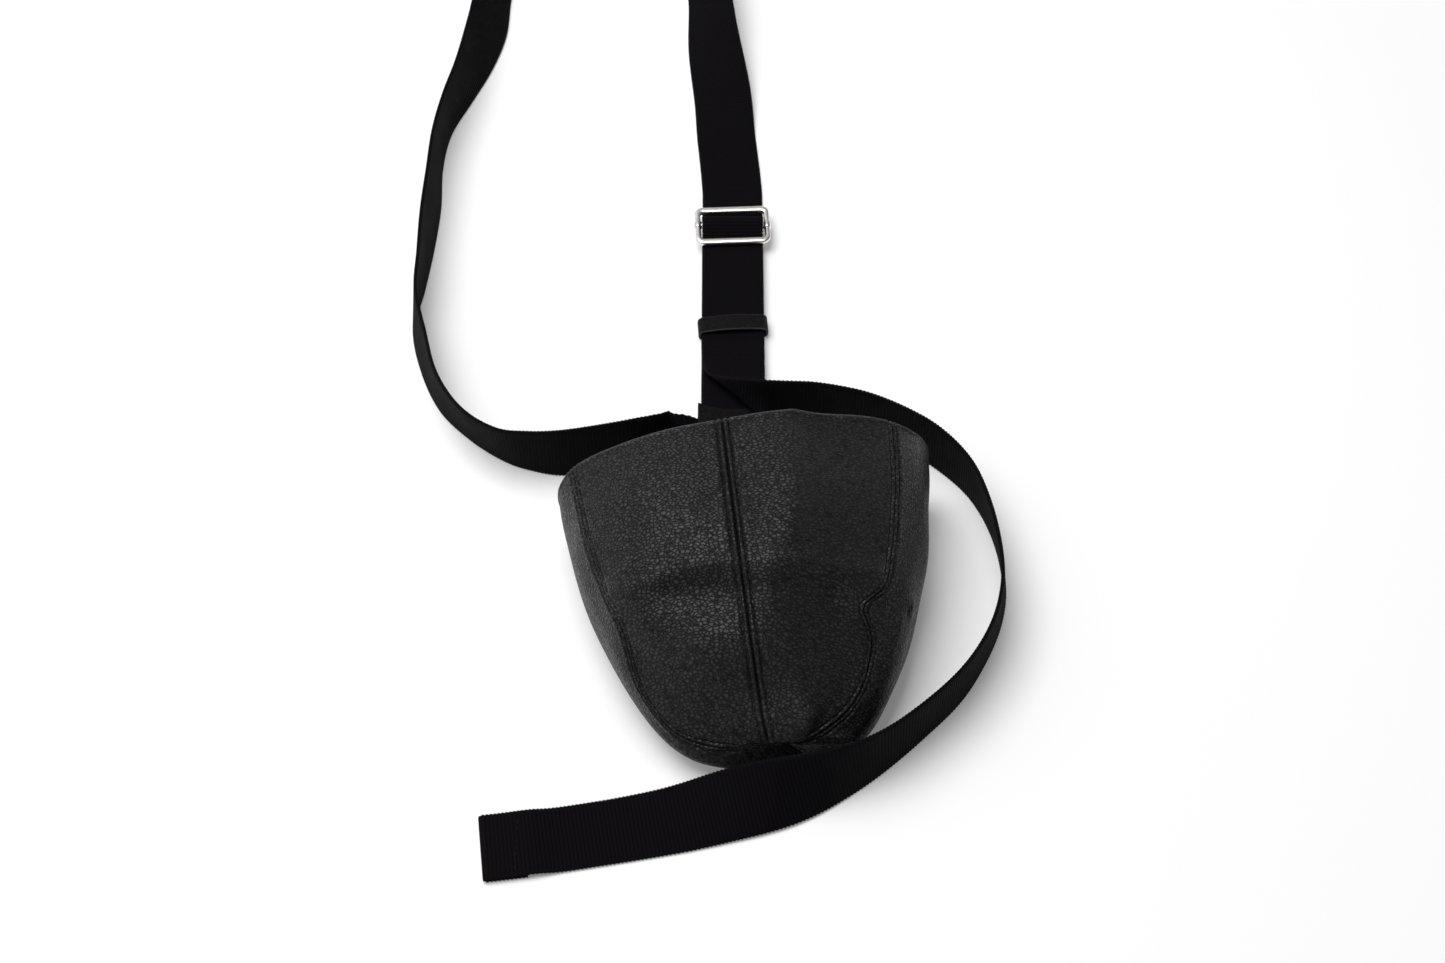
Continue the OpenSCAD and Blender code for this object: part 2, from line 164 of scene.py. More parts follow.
class Value:
    """One output socket of a node tree. Arithmetic with it adds Math nodes and gives a new Value."""

    def __init__(self, nodes, socket):
        self.nodes, self.socket = nodes, socket

    def math(self, operation, *values):
        return self.nodes.node("ShaderNodeMath", {"operation": operation}, dict(enumerate(values)))

    __add__ = __radd__ = by_node("ADD")
    __sub__, __mul__, __pow__ = by_node("SUBTRACT"), by_node("MULTIPLY"), by_node("POWER")
    sine, size = by_node("SINE"), by_node("ABSOLUTE")
    capped, or_more = by_node("MINIMUM"), by_node("MAXIMUM")

    def __rsub__(self, other):
        return self.math("SUBTRACT", other, self)

    def share(self, low, high):
        """0 at low, 1 at high, a smooth step between them and held outside."""
        return self.nodes.node(
            "ShaderNodeMapRange", {"interpolation_type": "SMOOTHSTEP"}, {0: self, 1: low, 2: high})


# %% A node tree that can be written to
class Nodes:
    """A node tree that grows by one method. Numbers go into the sockets as they are, Values as links."""

    def __init__(self, tree):
        self.tree = tree

    def node(self, kind, settings=None, inputs=None, output=0):
        made = self.tree.nodes.new(kind)
        for name, value in (settings or {}).items():
            setattr(made, name, value)
        for socket, value in (inputs or {}).items():
            self.feed(made.inputs[socket], value)
        return Value(self, made.outputs[output])

    def feed(self, socket, value):
        if isinstance(value, Value):
            self.tree.links.new(value.socket, socket)
        else:
            socket.default_value = value

    def blend(self, share, first, second):
        """The first colour where share is 0 and the second where it is 1."""
        return self.node("ShaderNodeMix", {"data_type": "RGBA"}, {0: share, 6: first, 7: second}, 2)

    def field(self, name):
        return self.node("ShaderNodeAttribute", {"attribute_name": name}, output="Fac")

    def place(self, kind="Object"):
        return self.node("ShaderNodeTexCoord", output=kind)

    def ray(self, kind):
        """1 for rays of that kind, such as Camera or Glossy."""
        return self.node("ShaderNodeLightPath", output=f"Is {kind} Ray")

    def vector(self, operation, *values, output=0):
        return self.node("ShaderNodeVectorMath", {"operation": operation}, dict(enumerate(values)), output)

    def noise(self, place, scale, detail, output=0):
        """Clouds, scale of them to the metre."""
        return self.node(
            "ShaderNodeTexNoise", None, {"Vector": place, "Scale": scale, "Detail": detail}, output)

    def cells(self, place, scale):
        """Voronoi cells, as the distance to the nearest edge between two of them."""
        return self.node(
            "ShaderNodeTexVoronoi", {"feature": "DISTANCE_TO_EDGE"}, {"Vector": place, "Scale": scale})

    def bump(self, height, depth, strength):
        return self.node("ShaderNodeBump", None, {"Height": height, "Distance": depth, "Strength": strength})


class Finish(Nodes):
    """A material with one principled shader. Plain numbers are set on the shader's own sockets."""

    def __init__(self, name, fixed):
        self.material = bpy.data.materials.new(name)
        self.material.use_nodes = True
        super().__init__(self.material.node_tree)
        self.shader = self.tree.nodes["Principled BSDF"]
        self.wear(fixed)

    def wear(self, inputs):
        for socket, value in inputs.items():
            self.feed(self.shader.inputs[socket], value)


def dye(level, plum=0.0):
    """A grey of that level, with green held back and blue raised by the share plum, as black dyes are."""
    return (level * (1 + plum / 2), level * (1 - plum / 2), level * (1 + plum), 1.0)


# %% [markdown]
# ## Black webbing
# The strap is a close ribbed tape: weft ribs lie across it, and fine warp yarns run along it and dip
# under each rib in turn. A picture of cloth would stretch round the bends. Two fields that the strap
# carries, the distance along it and across it in millimetres, keep the weave straight at any fold.

# %% The webbing's finish
RIB_PITCH, YARN_PITCH = 1.65, 0.9
RIB_TURN, YARN_TURN = math.pi / RIB_PITCH, math.pi / YARN_PITCH
SELVEDGE, WEAVE_DEPTH = (13.6, 14.4), 0.32 * MM
# the two blacks of the webbing's colour: the darker one is painted shade between the ribs
DEEP_BLACK, TOP_BLACK = dye(0.0004, 0.3), dye(0.0036, 0.3)
webbing = Finish("black_webbing", {"Specular IOR Level": 0.06})
along, across = webbing.field("along"), webbing.field("across")
place = webbing.place()
uneven, tone_mix = webbing.noise(place, 900.0, 3.0), webbing.noise(place, 60.0, 3.0)
rib = ((along + uneven * 0.3) * RIB_TURN).sine().size()
yarn = ((across + uneven * 0.25) * YARN_TURN + along * RIB_TURN).sine().size()
selvedge_and_sheen = across.size().share(*SELVEDGE)
weave = (rib * 0.7 + yarn * 0.3) * (1 - selvedge_and_sheen * 0.6) + uneven * 0.15
webbing.wear({
    # base colour: darker between the ribs as painted shade, paler at the edges as a painted highlight, and
    # patchy with random wear
    "Base Color": webbing.blend(rib * 0.5 + tone_mix * 0.3 + selvedge_and_sheen * 0.3, DEEP_BLACK, TOP_BLACK),
    "Roughness": 0.7 + tone_mix * 0.2,
    "Normal": webbing.bump(weave, WEAVE_DEPTH, 0.9),
})
print("webbing ribs every", RIB_PITCH, "mm")

# %% [markdown]
# ## Black leather
# The cup is a pebbled side leather, dyed through and lightly polished. Its grain is a field of small
# rounded cells with valleys between them, which a Voronoi texture gives when the distance to a cell's
# edge is used as height, and a noise bends it so that no cell is straight. The valleys are painted
# darker and the tops lighter, as painted shade. The tops of the cells carry the polish as a thin coat,
# and on high folds they are painted paler as a highlight. The flesh side is matt, and a cut edge
# shows paler fibres.

# %% The leather's finish
GRAIN = np.array([2.0, 1.35, 1.6])
STIR, GRAIN_DEPTH, STEEP, SMALL_CELLS = 1.4 * MM, 0.6 * MM, 3.0, 2.3
# the first level is the paler colour of the painted highlight on high creases
PAINTED_HIGHLIGHT, PLUM = 0.08, 0.06


def leather_finish(name, tone, grain, rough, gloss, pale):
    """Pebbled leather. With d the distance to a cell's edge, rise is STEEP * d up to 1, and a cell is the
    dome 1 - (1 - rise)**2: round on top and sharp in the valley, with smaller cells laid over it. The
    fibres of a cut edge reach the level pale."""
    made = Finish(name, {
        "Specular IOR Level": 0.13, "Specular Tint": (1, 0.95, 1, 1), "Coat Roughness": rough + 0.25})
    place = made.place()
    stir = made.noise(place, 260.0, 2.0, "Color")
    bent = made.vector("MULTIPLY_ADD", stir, (STIR,) * 3, place)
    counted = made.vector("MULTIPLY", bent, list(1 / (grain * MM)))
    rise = (made.cells(counted, 1.0) * STEEP).capped(1.0)
    dome = 1 - (1 - rise) ** 2.0
    pebble = dome * 0.85 + made.cells(counted, SMALL_CELLS).share(0.0, 0.3) * 0.15
    cloudy, fibre = made.noise(place, 38.0, 4.0), made.noise(place, 1500.0, 3.0)
    cut, flesh = made.field("cut"), made.field("flesh")
    grain_side = (1 - flesh) * (1 - cut)
    # the leather's tone: random clouds, plus painted shade that darkens the valleys between the cells and
    # lightens their tops
    tone_mix = cloudy.share(0.35, 0.7) * 0.3 + rise * 0.7
    face = made.blend(tone_mix, dye(tone * 0.1, PLUM), dye(tone * 1.4, PLUM))
    # painted highlight: the cell tops on high creases are made paler
    face = made.blend(made.field("crest_highlight") * rise, face, dye(PAINTED_HIGHLIGHT, PLUM))
    inner = made.blend(fibre, dye(tone * 1.1), dye(tone * 2.2))
    edge = made.blend(fibre, dye(pale * 0.4, PLUM), dye(pale, PLUM))
    made.wear({
        "Base Color": made.blend(cut, made.blend(flesh, face, inner), edge),
        "Roughness": rough + 0.05 + (cloudy - 0.5) * 0.1 + (1 - rise) * 0.12 + (flesh + cut) * 0.3,
        "Coat Weight": rise * grain_side * gloss,
        "Normal": made.bump(pebble * grain_side + fibre * 0.1, GRAIN_DEPTH, 1.0),
    })
    return made.material


leather = leather_finish("black_leather", tone=0.005, grain=GRAIN, rough=0.3, gloss=0.8, pale=0.11)
tab_leather = leather_finish("tab_leather", 0.004, np.full(3, 1.1), 0.5, gloss=0.1, pale=0.01)
keeper_leather = leather_finish("keeper_leather", 0.0035, np.full(3, 0.9), 0.5, gloss=0.2, pale=0.1)
print("leather cells", GRAIN, "mm")

# %% [markdown]
# ## Thread and nickel
# The seams are sewn with a twisted black thread, so its bump runs slanting round it. The slide is bent
# from plated wire: a bright metal with a fine satin left by the polishing wheel.

# %% The thread's and the wire's finishes
TWIST, TWIST_DEPTH = 9.0, 0.1 * MM
thread = Finish("black_thread", {"Specular IOR Level": 0.15})
twist = (thread.field("along") * TWIST + thread.field("turn")).sine() * 0.5 + 0.5
thread.wear({
    # the colour is darker in the grooves of the twist as painted shade, and lighter on its crests
    "Base Color": thread.blend(twist, dye(0.0015), dye(0.006)),
    "Roughness": 0.62 - twist * 0.14,
    "Normal": thread.bump(twist, TWIST_DEPTH, 0.6),
})

SATIN_DEPTH = 0.02 * MM
DULL_NICKEL, BRIGHT_NICKEL = (0.74, 0.72, 0.69, 1), (0.92, 0.9, 0.87, 1)
nickel = Finish("polished_nickel", {"Metallic": 1.0})
place = nickel.place()
satin, smear = nickel.noise(place, 2200.0, 2.0), nickel.noise(place, 170.0, 3.0)
nickel.wear({
    "Base Color": nickel.blend(smear, DULL_NICKEL, BRIGHT_NICKEL),
    "Roughness": 0.2 + smear * 0.12 + satin * 0.06,
    "Normal": nickel.bump(satin, SATIN_DEPTH, 0.4),
})
print("finishes:", thread.material.name, nickel.material.name)

# %% [markdown]
# ## The long strap
# The long strap is one length of webbing. It leaves the tab flat, turns up on its edge, makes a wide
# loop on the table, lies down again, runs under, over and under the bars of the slide and through the
# keeper, folds over to one side and swings round the cup to a hemmed end. Cloth simulation would not
# find that lie again, so it follows listed points: x, y, the lean of the tape in degrees, and a lift.
# At the fold the points of both edges are set.

# %% The strap's route in millimetres
TAPE, TAPE_THICK = 30.0, 1.6
LAYER, FLOOR_GAP = 1.75, 0.1
SEWN_LIFT, HEM_LIFT = 1.55, 1.75
UP = np.array([0.0, 0.0, 1.0])
LOOP = np.array([
    [14, 34, 180, SEWN_LIFT], [0, 31.5, 180, SEWN_LIFT], [-13, 30.6, 180, SEWN_LIFT],
    [-17.5, 30.6, 178, SEWN_LIFT], [-20.5, 30, 168, 1.4], [-24, 27.8, 155, 0.9], [-28, 24.8, 141, 0.4],
    [-33, 22.8, 124, 0.1], [-38, 21.9, 112, 0], [-45, 21.2, 103, 0], [-55, 20, 96, 0], [-77, 16, 95, 0],
    [-93, 17, 88, 0], [-107, 21, 81, 0], [-123, 33, 81, 0], [-137, 52, 90, 0], [-146, 77, 98, 0],
    [-152, 103, 97, 0], [-151, 128, 90, 0], [-150, 155, 84, 0], [-149, 182, 83, 0], [-149, 210, 87, 0],
    [-146, 235, 88, 0], [-139, 260, 79, 0], [-133, 285, 66, 0], [-129, 310, 58, 0], [-128, 337, 58, 0],
    [-124, 365, 64, 0], [-109, 390, 70, 0], [-75, 405, 72, 0], [-39, 389, 66, 0], [-19, 363, 54, 0],
    [-13, 337, 47, 0], [-10, 299, 30, 0], [-5, 261, 10, 0], [-3, 232, 0, 0], [-1, 208, 0, 0], [0, 192, 0, 0]])
FOLD = np.array([
    [-15, 98, 4.4, 15, 98, 4.4], [-15, 88, 4.4, 15, 83, 4.4], [-14.5, 79, 5.1, 15, 67, 5.2],
    [-13.5, 72, 7, 15, 54, 8], [-10.5, 67, 9.5, 15, 43, 8.6], [-5.5, 62.5, 13.4, 16, 38, 8.6],
    [1, 57.5, 18.5, 19.5, 37, 7.3], [8.5, 52.5, 23.5, 24.5, 38.5, 3.5], [17, 48.5, 27.5, 29.5, 41, 0.8],
    [27, 46.5, 29.3, 36, 43, 0.1], [37, 45.4, 30, 43.5, 44.5, 0.1], [47, 43.5, 30, 51.5, 45, 0.1]])
TAIL = np.array([
    [57, 42.5, -88, 0], [76, 32, -90, 0], [93, 19, -90, 0], [107, 1, -86, 0], [115, -22, -82, 0],
    [118, -47, -82, 0], [116, -67, -86, 0], [109, -87, -90, 0], [97, -107, -90, 0], [80, -125, -89, 0],
    [61, -141, -84, 0], [43, -151, -72, 0], [23, -157, -50, 0], [-3, -161, -20, 0], [-25, -165.5, -5, 0],
    [-51, -170.3, 0, 0], [-72, -174, 0, 0.2], [-83, -175.8, 0, HEM_LIFT], [-94, -177.4, 0, HEM_LIFT],
    [-102.5, -178.5, 0, HEM_LIFT]])


def unit(v):
    """Each vector divided by its length."""
    return v / np.maximum(np.linalg.norm(v, axis=-1, keepdims=True), 1e-12)


def way_along(points):
    """The length of the line through the points, from the first up to each."""
    return np.concatenate([[0], np.cumsum(np.linalg.norm(np.diff(points, axis=0), axis=1))])


def taken_at(at, run, rows):
    """Rows that are given at the lengths run, taken again at other lengths."""
    return np.stack([np.interp(at, run, c) for c in rows.T], -1)


def curve(points, steps):
    """A cubic for each span from b to c, which leaves b along c - a and reaches c along d - b."""
    p = np.vstack([points[:1], points, points[-1:]])
    a, b, c, d = p[:-3], p[1:-2], p[2:-1], p[3:]
    t = (np.arange(steps) / steps)[:, None, None]
    spans = (2 * b + (c - a) * t + (2 * a - 5 * b + 4 * c - d) * t**2 + (3 * b - a - 3 * c + d) * t**3) / 2
    return np.vstack([spans.transpose(1, 0, 2).reshape(-1, points.shape[1]), points[-1:]])


def tape_edges(route, steps):
    """Both edges of the tape: half its width to each side of the centre, turned by the lean about the path.
    The centre is as high as the lower edge needs to lie on the table, plus the lift."""
    q = curve(route, steps)
    lean = np.radians(q[:, 2])
    z = TAPE / 2 * abs(np.sin(lean)) + TAPE_THICK / 2 * abs(np.cos(lean)) + FLOOR_GAP + q[:, 3]
    centre = np.column_stack([q[:, :2], z])
    t = unit(np.gradient(centre, axis=0))
    left = unit(np.cross(UP, t))
    w = np.cos(lean)[:, None] * left + np.sin(lean)[:, None] * np.cross(t, left)
    return np.hstack([centre - w * TAPE / 2, centre + w * TAPE / 2])


print("route points:", len(LOOP) + len(FOLD) + len(TAIL))

# %% [markdown]
# ## Through the slide
# Between the bars the tape lies in one upright plane, so its path is a plain line in y and z: along the
# table, up over the centre bar on a round of the bar's and both tapes' thickness, and down again under
# the near bar. The tangent points are worked out, because a tape drawn by eye would cut the wire.

# %% The strap's path over the bar
SLIDE_Y, BAR_Z = 165.0, 6.8
BAR_CENTRE = np.array([SLIDE_Y, BAR_Z])
WIRE, WIRE_GAP, BAR_PITCH = 2.6, 0.15, 21.0
LOW_Z, SHORT_Z, LONG_Z, RETURN_Z, ROOT_Z = 0.9, 2.65, 4.4, 0.9, 4.2
SOUTH, NORTH = 155.3, 173.5


def touch(point, radius, side):
    """Where a line from the point touches the circle round the bar, at the angle asin(radius / distance)."""
    v = BAR_CENTRE - point
    d = np.linalg.norm(v)
    a = math.atan2(v[1], v[0]) + side * math.asin(radius / d)
    return point + math.sqrt(d * d - radius * radius) * np.array([math.cos(a), math.sin(a)])


def ease(a, b, c, r, steps=9):
    """A corner at b rounded off by the parabola from r before it to r after it."""
    a, b, c = np.array([a, b, c], float)
    p, q = b + r * unit(a - b), b + r * unit(c - b)
    t = np.linspace(0, 1, steps)[:, None]
    return (1 - t) ** 2 * p + 2 * t * (1 - t) * b + t**2 * q


def wrap(a, b, radius, steps=25):
    """The round about the bar from the heading of a to the heading of b."""
    ta, tb = (math.atan2(*(p - BAR_CENTRE)[::-1]) for p in (a, b))
    t = np.linspace(ta, tb, steps)
    return BAR_CENTRE + radius * np.column_stack([np.cos(t), np.sin(t)])


def edges_of(path):
    """Both edges of a tape that lies square over the line x = 0, from its path in y and z."""
    half = np.full(len(path), TAPE / 2)
    return np.column_stack([-half, path, half, path])


SHORT_WRAP = WIRE / 2 + WIRE_GAP + TAPE_THICK / 2
LONG_WRAP = SHORT_WRAP + LAYER
far, near = np.array([[NORTH, LOW_Z], [SOUTH, LONG_Z]])
rise, fall = touch(far, LONG_WRAP, -1), touch(near, LONG_WRAP, 1)
slide_run = np.vstack([
    [[187, LOW_Z], [181, LOW_Z]], ease((185, LOW_Z), far, rise, 2.0), wrap(rise, fall, LONG_WRAP),
    ease(fall, near, (145, LONG_Z), 1.5), [[150, LONG_Z], [130, LONG_Z], [112, LONG_Z]]])
print("slide run", len(slide_run), "points, over the bar at", LONG_WRAP, "mm")

# %% [markdown]
# ## The hem and the whole tape
# The free end is turned under once and sewn. The three stretches are joined into one row of edge pairs,
# the joint after the fold is evened out, and then a flat section with soft edges is carried along.


# %% The tape's section and its skin
def hem_edges(last, length=17.0):
    """Half a turn down at half a layer's radius, then the flap straight back under."""
    west, east = last[:3], last[3:]
    t = unit(np.cross(east - west, UP))
    r = LAYER / 2
    a = np.radians(np.linspace(20, 180, 9))[:, None]
    turn = r * np.sin(a) * t - r * (1 - np.cos(a)) * UP
    flap = -2 * r * UP - np.linspace(0.08, 1, 14)[:, None] * length * t
    shift = np.vstack([turn, flap])
    return np.hstack([west + shift, east + shift])


def even_out(rows, at, reach=26, window=20, spread=6.0):
    """Near row `at`, each row moves towards a bell-weighted mean of its neighbours within the window."""
    k = np.exp(-(np.arange(-window, window + 1) / spread) ** 2 / 2)
    wide = np.pad(rows, ((window, window), (0, 0)), mode="edge")
    mean = np.stack([np.convolve(c, k / k.sum(), "valid") for c in wide.T], -1)
    share = np.clip(1 - abs(np.arange(len(rows)) - at) / reach, 0, 1)[:, None]
    return rows + share * (mean - rows)


def there_and_back(u, h):
    """A closed outline from its upper half: the places u at the heights h, and back at the heights -h."""
    return np.concatenate([u, u[::-1]]), np.concatenate([h, -h[::-1]])


RIB_OUT, RIB_INSET, RIB_UP = 0.25, 0.1, 0.06


def tape_skin(edges):
    """A closed section at every half rib: 11 points across the top and 11 back below. Half the thickness
    falls off over the last millimetre to each edge, so that the edges are soft, and every other section
    stands out as a rib. A point's place along the tape is the way to its section and its own lead."""
    run = way_along((edges[:, :3] + edges[:, 3:]) / 2)
    edges = taken_at(np.arange(0, run[-1], RIB_PITCH / 2), run, edges)
    west, east = edges[:, :3], edges[:, 3:]
    centre, w = (west + east) / 2, unit(east - west)
    t = unit(np.gradient(centre, axis=0))
    n = unit(np.cross(t, w))
    rib = np.where(np.arange(len(edges)) % 2, 1.0, -1.0)[:, None, None]
    u = np.array([-1, -0.985, -0.94, -0.8, -0.4, 0, 0.4, 0.8, 0.94, 0.985, 1])
    u, h = there_and_back(u, TAPE_THICK / 2 * np.array([0.35, 0.8, 1, 1, 1, 1, 1, 1, 1, 0.8, 0.35]))
    half = np.linalg.norm(east - west, axis=1)[:, None, None] / 2 + RIB_OUT * rib - RIB_INSET
    skin = centre[:, None] + u[:, None] * half * w[:, None] + h[:, None] * (1 + RIB_UP * rib) * n[:, None]
    lead = np.einsum("ijk,ik->ij", skin - centre[:, None], t)
    return skin, {"along": way_along(centre)[:, None] + lead, "across": u * TAPE / 2}


loop_edges, tail_edges = tape_edges(LOOP, 16), tape_edges(TAIL, 16)
fold_edges = curve(FOLD, 12)
joint = len(loop_edges) + len(slide_run) + len(fold_edges)
long_edges = even_out(np.vstack([loop_edges, edges_of(slide_run), fold_edges, tail_edges]), joint)
long_edges = np.vstack([long_edges, hem_edges(long_edges[-1])])
long_skin, weave_at = tape_skin(long_edges)
make_piece("long_webbing_strap", long_skin, webbing.material, "webbing", "long_strap", **weave_at)
print("long strap", round(len(long_skin) * RIB_PITCH / 2), "mm")

# %% [markdown]
# ## The short strap
# The short strap comes out of the tab under the long one, goes round the centre bar and is sewn back
# on itself. It is the same tape, so it takes the same section along its own path in y and z.

# %% The short strap's path
STEP_FROM, STEP_TO = (52, ROOT_Z), (72, SHORT_Z)
out, home = np.array([[SOUTH + 1, SHORT_Z], [SOUTH + 0.5, RETURN_Z]])
rise, fall = touch(out, SHORT_WRAP, 1), touch(home, SHORT_WRAP, -1)
short_path = np.vstack([
    [[-5, ROOT_Z], [20, ROOT_Z], [46, ROOT_Z]], ease((0, ROOT_Z), STEP_FROM, STEP_TO, 4.0),
    ease(STEP_FROM, STEP_TO, (SLIDE_Y, SHORT_Z), 4.0), [[100, SHORT_Z], [130, SHORT_Z]],
    ease((0, SHORT_Z), out, rise, 1.5), wrap(rise, fall, SHORT_WRAP),
    ease(fall, home, (0, RETURN_Z), 2.0), [[SOUTH - 18, RETURN_Z]]])
short_skin, weave_at = tape_skin(edges_of(short_path))
make_piece("short_webbing_strap", short_skin, webbing.material, "webbing", "short_strap", **weave_at)
print("short strap", round(len(short_skin) * RIB_PITCH / 2), "mm")

# %% [markdown]
# ## The four panels of the cup
# The cup is sewn from four gores whose points meet at the closed end. A point of the cup is found from
# its gore, its share between the two seams and the angle from the rim to the end. The same formula gave
# the solids, so the fine skin lies on them. A sphere that is pushed about would not have this outline.

# %% The cup as a formula
MOUTH_WIDTH, MOUTH_HEIGHT, CUP_LENGTH, END_HEIGHT = 165.0, 72.0, 132.0, 22.0
SEAMS = np.array([38.0, 97.0, 156.0, 296.0, 398.0])
CUP_TURN, RIM_Y = 4.5, -9.0
CUP_X, CUP_Y = 10.0, RIM_Y - CUP_LENGTH / 2
SIDE_Z = 0.46 * MOUTH_HEIGHT
CROWN, CROWN_HUMP, CROWN_FALL = MOUTH_HEIGHT - SIDE_Z, 6, 8
UNDER, LEATHER = 1.7, 1.6
TAPER, END_TAPER = 0.14, 0.27
LENGTH_POWER, WIDTH_POWER, UNDER_POWER = 2.6, 3.4, 3.2
LEFT_SINK, LEFT_FROM, LEFT_OVER = 32, 0.62, 0.3
RIGHT_SINK, RIGHT_FROM, RIGHT_OVER = 17, 0.68, 0.27
JOG, JOG_AT, JOG_SPREAD = 8, 0.69, 0.05
RIM_RISE, RIM_SKEW = 1.7, 0.057
SWELL, SWELL_FROM, SWELL_DIP, DIP_SPREAD = 18, 20, 0.3, 14


def smooth(t):
    """3 t**2 - 2 t**3 between 0 and 1, held outside."""
    t = np.clip(t, 0, 1)
    return t * t * (3 - 2 * t)


def bell(d, at, spread):
    """A hill of height 1 in the place at: exp(-((d - at) / spread)**2)."""
    return np.exp(-(((d - at) / spread) ** 2))


def seam_at(k, s):
    """Degrees round the cup of seam k: near the end the side seams sink, and the right one jogs at a dent."""
    if k == 2:
        return SEAMS[k] + LEFT_SINK * smooth((s - LEFT_FROM) / LEFT_OVER)
    if k % 4 == 0:
        jog = JOG * bell(s, JOG_AT, JOG_SPREAD)
        return SEAMS[k] + jog - RIGHT_SINK * smooth((s - RIGHT_FROM) / RIGHT_OVER)
    return SEAMS[k]


def way_back(th):
    """The share of the way from the rim to the closed end: a power of sin(th)."""
    return np.sin(np.radians(th)) ** (2 / LENGTH_POWER)


print("seams at", SEAMS, "degrees")


# %% A point of the cup
def cup(gore, f, th):
    """Half an oval, closed along its length: the width falls with a power of cos(th), the crown with the
    root of 1 - s**3.5, where s is the way back; below its sides the oval is flattened, the rim is cut a
    little askew, and the back swells past the end, less along its seam."""
    s = way_back(th)
    a = (1 - f) * seam_at(gore, s) + f * seam_at(gore + 1, s)
    ca, sa = np.cos(np.radians(a)), np.sin(np.radians(a))
    taper = 1 - TAPER * s - END_TAPER * s**4
    w = MOUTH_WIDTH / 2 * taper * np.cos(np.radians(th)) ** (2 / WIDTH_POWER)
    level = SIDE_Z - (SIDE_Z - END_HEIGHT) * s**3
    hump = CROWN_HUMP * np.sin(np.pi * s) - CROWN_FALL * s**4
    top = (CROWN + hump) * np.sqrt(np.maximum(0, 1 - s**3.5))
    base = UNDER + (END_HEIGHT - UNDER) * (1 - np.sqrt(np.maximum(0, 1 - s**7)))
    flat = (abs(ca) ** UNDER_POWER + abs(sa) ** UNDER_POWER) ** (-1 / UNDER_POWER)
    r = np.where(sa < 0, flat, 1.0)
    z = level + np.where(sa < 0, (level - base) * r, top) * sa
    x = w * r * ca
    askew = (RIM_RISE * np.maximum(0, sa) + RIM_SKEW * x) * (1 - s)
    y = CUP_LENGTH / 2 - CUP_LENGTH * s + askew
    turn = SEAMS[0] + np.mod(a - SEAMS[0], 360)
    round_back = np.sin(np.pi * np.maximum(0, turn - SEAMS[2]) / (SEAMS[4] - SEAMS[2]))
    dip = 1 - SWELL_DIP * bell(turn, SEAMS[3], DIP_SPREAD)
    swell = np.sin(np.radians(180 * np.maximum(0, th - SWELL_FROM) / (90 - SWELL_FROM))) ** 2
    return x, y - SWELL * round_back * dip * swell, z, a


def turned(points, degrees):
    """Points turned about the upright through the origin."""
    c, s = math.cos(math.radians(degrees)), math.sin(math.radians(degrees))
    return points @ np.array([[c, s, 0], [-s, c, 0], [0, 0, 1]])


def on_table(x, y, z):
    """The cup turned a little and moved to its place below the tab."""
    return turned(np.stack([x, y, z], -1), CUP_TURN) + (CUP_X, CUP_Y, 0)


def cup_point(gore, f, th):
    return on_table(*cup(gore, f, th)[:3])


def cup_normal(gore, f, th):
    """The cross product of the steps along f and along th, which looks out of the cup."""
    e, low, high = 1e-4, np.maximum(th - 0.05, 0), np.minimum(th + 0.05, 89.999)
    df = cup_point(gore, f + e, th) - cup_point(gore, f - e, th)
    dth = cup_point(gore, f, high) - cup_point(gore, f, low)
    return unit(np.cross(df, dth))


print("cup", MOUTH_WIDTH, "x", CUP_LENGTH, "x", MOUTH_HEIGHT, "mm")

# %% [markdown]
# ## Creases and seams
# Worn leather keeps the folds it was carried with. The photograph shows a fold across the middle, a soft
# ridge to the rim, dents on both sides and a puckered end. Each is a bell-shaped hill or valley along a
# line on the cup, in degrees round it and millimetres along it. At a seam both edges are turned in,
# which leaves a groove between two rolled lips, and the stitch rows pull a shallow channel.

# %% Relief of the leather
CREASES = [
    # the line's points in degrees and millimetres, height, spread; a sharp one falls off straight
    ([(75.5, 70), (76.5, 46), (77.5, 18), (80, 2)], 3.2, 9.0, True),
    ([(150, -5), (137, -8), (119, -8.5), (100, -8)], 1.9, 4.5, True),
    ([(96, -11), (88, -11.5)], 2.6, 4.5, False),
    ([(85, -7), (76, -9.5), (60, -11), (44, -10)], 2.4, 3.6, True),
    ([(82, -17), (62, -18)], -1.4, 4.0, False),
    ([(124, -15), (104, -20)], -3.0, 6.5, False), ([(118, -36), (101, -38)], 2.8, 7.5, False),
    ([(92, -25), (86, -38), (79, -45)], 2.4, 7.0, False),
    ([(66, 62), (62, 20), (60, 2)], -2.2, 11.0, False),
    ([(62, -26), (56, -42)], -2.4, 8.0, False), ([(97, 70), (97, 20)], -1.0, 7.0, False),
    ([(43, -19), (27, -16), (11, -13)], 0.8, 2.6, True),
    ([(40, -23), (30, -20), (14, -17)], -1.2, 2.6, False),
    ([(34, -25), (31, -36)], 0.9, 2.0, True), ([(27, -24), (24, -36)], 0.8, 2.0, True),
    ([(20, -22), (18, -36)], 0.7, 2.0, True),
    ([(130, 44), (112, 14)], 0.9, 9.0, False), ([(170, 34), (168, -8)], -1.2, 9.0, False),
    ([(8, 40), (10, -6)], -1.2, 8.0, False), ([(90, -60), (70, -58)], 4.5, 5.0, False),
    ([(112, -60), (124, -61)], 1.8, 4.5, False),
]
DEGREE, ROUNDED = 1.05, 1.5
WAVES = ((0.25, 7.3, 15), (0.25, 11, -9), (0.15, 19, 5.1))


def unrolled(a, y):
    """Millimetres round the cup from the front seam, drawn together towards the end, and along it."""
    s = np.clip(0.5 - y / CUP_LENGTH, 0, 1)
    return np.stack([(a - SEAMS[1]) * DEGREE * np.sqrt(np.maximum(0.02, 1 - s**4)), y], -1)


